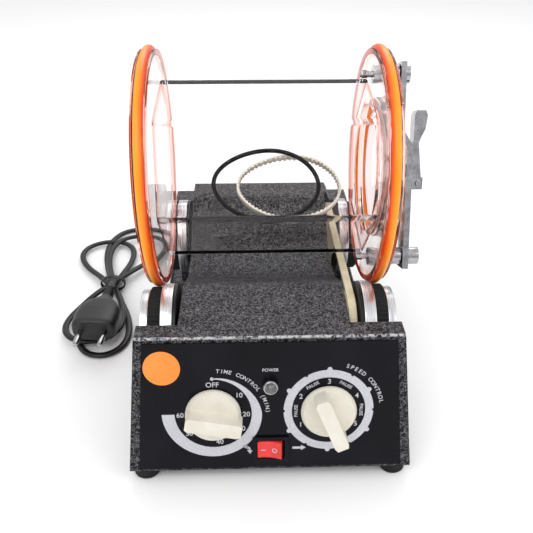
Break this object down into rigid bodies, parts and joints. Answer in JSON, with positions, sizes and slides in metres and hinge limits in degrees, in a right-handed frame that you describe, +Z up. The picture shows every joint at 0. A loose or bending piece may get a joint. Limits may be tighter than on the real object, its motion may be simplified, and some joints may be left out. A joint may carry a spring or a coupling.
{
  "type": "rotary rock tumbler",
  "caption": "Bench rock tumbler: a clear six-sided drum with orange rings turns on powered wheels above a hammered steel housing with a timer and a speed knob.",
  "frame": {"origin": "on the surface the feet stand on, under the middle of the machine without its cord", "axes": "+X to the right and +Y to the back seen from the control panel, +Z up; the drum turns about X"},
  "size_m": [0.2774, 0.3655, 0.2349],
  "materials": {
    "hammered_paint": "hammered dark grey and black paint, slightly glossy",
    "panel_plate": "glossy black plate",
    "zinc_steel": "zinc-plated, matte",
    "turned_aluminium": "turned, fine rings",
    "machine_steel": "ground",
    "chrome_plate": "polished",
    "black_rubber": "moulded, matte",
    "orange_rubber": "smooth, satin",
    "cream_plastic": "moulded, satin",
    "link_belt_fabric": "cream drive belt, matte",
    "white_belt": "toothed, matte",
    "red_plastic": "moulded, glossy",
    "lamp_lens": "translucent lens",
    "black_plastic": "moulded, satin",
    "circuit_board": "lacquered board",
    "clear_acrylic": "clear acrylic, glossy",
    "cord_pvc": "flexible sheath, satin"
  },
  "bodies": {
    "base": {"housing_shell": "hammered_paint", "base_plate": "hammered_paint", "foot_front_left": "black_rubber", "foot_front_right": "black_rubber", "foot_rear_left": "black_rubber", "foot_rear_right": "black_rubber", "motor_body": "machine_steel", "motor_bracket": "zinc_steel", "drive_belt": "black_rubber", "link_belt": "link_belt_fabric", "bearing_front_left": "machine_steel", "bearing_front_right": "machine_steel", "bearing_rear_left": "machine_steel", "bearing_rear_right": "machine_steel", "control_board": "circuit_board", "cord_gland": "black_plastic", "control_panel": "panel_plate", "timer_module": "black_plastic", "speed_switch": "black_plastic", "rocker_housing": "black_plastic", "power_lamp": "lamp_lens", "cord_lead": "cord_pvc", "cord_bundle": "cord_pvc", "plug": "black_plastic"},
    "motor_rotor": {"motor_pulley": "black_plastic"},
    "front_roller": {"front_roller_shaft": "machine_steel", "front_roller_left_wheel": "turned_aluminium", "front_roller_left_tyre": "black_rubber", "front_roller_left_guard": "black_plastic", "front_roller_right_wheel": "turned_aluminium", "front_roller_right_tyre": "black_rubber", "front_roller_right_guard": "black_plastic", "front_roller_link_pulley": "link_belt_fabric"},
    "rear_roller": {"rear_roller_shaft": "machine_steel", "rear_roller_left_wheel": "turned_aluminium", "rear_roller_left_tyre": "black_rubber", "rear_roller_left_guard": "black_plastic", "rear_roller_right_wheel": "turned_aluminium", "rear_roller_right_tyre": "black_rubber", "rear_roller_right_guard": "black_plastic", "rear_roller_link_pulley": "link_belt_fabric", "rear_roller_drive_pulley": "black_plastic"},
    "drum": {"barrel_tube": "clear_acrylic", "left_end_plate": "clear_acrylic", "right_end_plate": "clear_acrylic", "left_ring": "orange_rubber", "right_ring": "orange_rubber", "upper_post": "chrome_plate", "lower_post": "chrome_plate", "spare_round_belt": "black_rubber", "spare_toothed_belt": "white_belt"},
    "lid": {"lid": "clear_acrylic", "lid_gasket": "orange_rubber"},
    "clamp_bar": {"clamp_bar": "chrome_plate", "clamp_pin": "machine_steel"},
    "clamp_lever": {"clamp_lever": "chrome_plate"},
    "timer_knob": {"timer_knob": "cream_plastic"},
    "speed_knob": {"speed_knob": "cream_plastic"},
    "rocker_button": {"rocker_button": "red_plastic"}
  },
  "joints": [
    {"name": "drum_spin", "type": "hinge", "parent": "base", "child": "drum", "pos_m": [-0.0092, 0.00681, 0.1569], "axis": [1, 0, 0], "continuous": true},
    {"name": "front_roller_spin", "type": "hinge", "parent": "base", "child": "front_roller", "pos_m": [-0.0092, -0.05789, 0.0731], "axis": [1, 0, 0], "continuous": true},
    {"name": "rear_roller_spin", "type": "hinge", "parent": "base", "child": "rear_roller", "pos_m": [-0.0092, 0.07151, 0.0731], "axis": [1, 0, 0], "continuous": true},
    {"name": "motor_spin", "type": "hinge", "parent": "base", "child": "motor_rotor", "pos_m": [-0.0482, 0.00681, 0.042], "axis": [1, 0, 0], "continuous": true},
    {"name": "clamp_swing", "type": "hinge", "parent": "drum", "child": "clamp_bar", "pos_m": [0.0868, -0.01371, 0.10052], "axis": [1, 0, 0], "range_deg": [0, 110]},
    {"name": "lid_lift_off", "type": "slide", "parent": "drum", "child": "lid", "axis": [1, 0, 0], "range_m": [0, 0.008]},
    {"name": "clamp_lever_swing", "type": "hinge", "parent": "clamp_bar", "child": "clamp_lever", "pos_m": [0.0929, 0.00339, 0.1475], "axis": [0, 0.9397, -0.342], "range_deg": [0, 120]},
    {"name": "timer_turn", "type": "hinge", "parent": "base", "child": "timer_knob", "pos_m": [-0.0441, -0.11955, 0.0503], "axis": [0, 0.9746, -0.2241], "range_deg": [-100, 170]},
    {"name": "speed_turn", "type": "hinge", "parent": "base", "child": "speed_knob", "pos_m": [0.0263, -0.11933, 0.05128], "axis": [0, 0.9746, -0.2241], "range_deg": [-312, 0]},
    {"name": "rocker_press", "type": "hinge", "parent": "base", "child": "rocker_button", "pos_m": [-0.0092, -0.11935, 0.0244], "axis": [0, 0.2241, 0.9746], "range_deg": [0, 20]}
  ],
  "couplings": [
    {"joint": "front_roller_spin", "follows": "drum_spin", "ratio": -2.8364},
    {"joint": "rear_roller_spin", "follows": "drum_spin", "ratio": -2.8364},
    {"joint": "motor_spin", "follows": "drum_spin", "ratio": -7.962},
    {"joint": "lid_lift_off", "follows": "clamp_swing", "m_per_rad": 0.004167}
  ]
}
